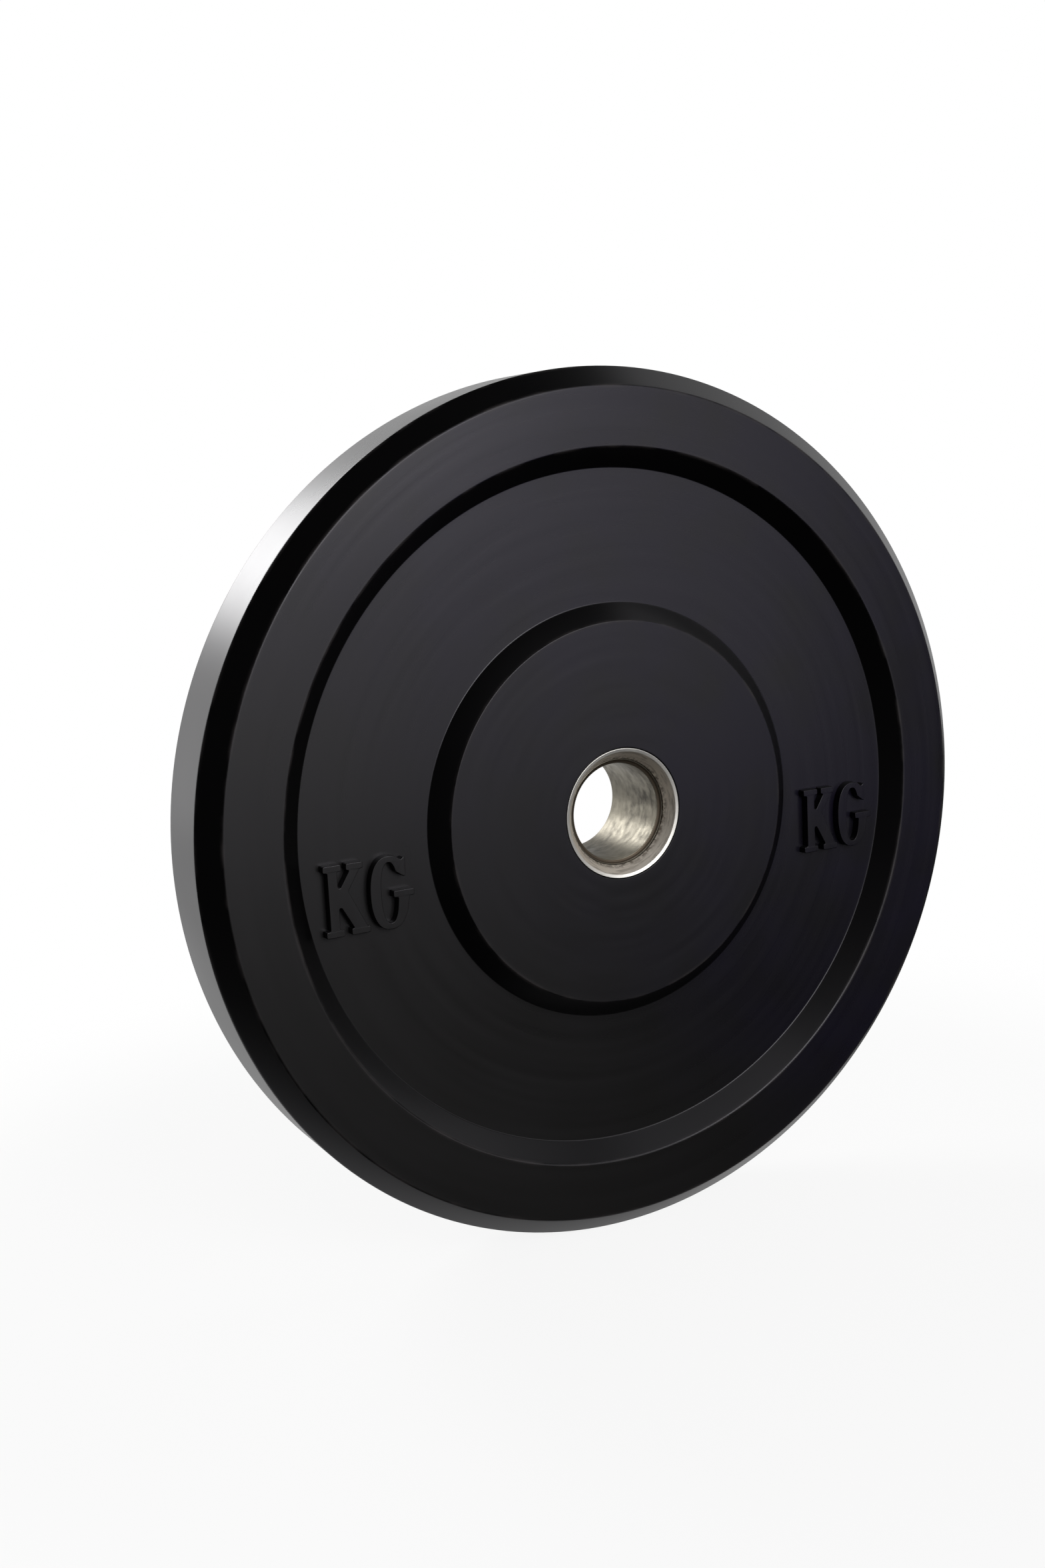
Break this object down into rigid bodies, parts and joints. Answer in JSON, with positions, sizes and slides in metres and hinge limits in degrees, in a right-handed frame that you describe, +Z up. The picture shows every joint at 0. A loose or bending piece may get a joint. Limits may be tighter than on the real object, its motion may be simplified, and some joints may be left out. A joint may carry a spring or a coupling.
{
  "type": "bumper plate",
  "caption": "Round rubber weight plate with raised rim and hub, recessed web on both faces, and a steel bore insert with a flared mouth.",
  "frame": {"origin": "centre of the plate, on the bore axis and half way through its thickness", "axes": "Y along the bore, the front face with the flared mouth looking along -Y; +Z up with the raised marks level; +X to the right seen from the front. The plate stands on its tread."},
  "size_m": [0.45, 0.0558, 0.45],
  "materials": {
    "moulded_rubber": "satin black moulded rubber with faint concentric streaks",
    "brushed_steel": "drawn and honed, fine rings round the bore",
    "turned_steel": "turned, bright lip, lightly stained mouth",
    "mill_steel": "dull as rolled, hidden in the rubber"
  },
  "bodies": {
    "root": {"rubber_body": "moulded_rubber", "bore_sleeve": "brushed_steel", "front_collar": "turned_steel", "rear_collar": "turned_steel", "anchor_plate": "mill_steel", "front_weld": "mill_steel", "rear_weld": "mill_steel"}
  },
  "joints": []
}
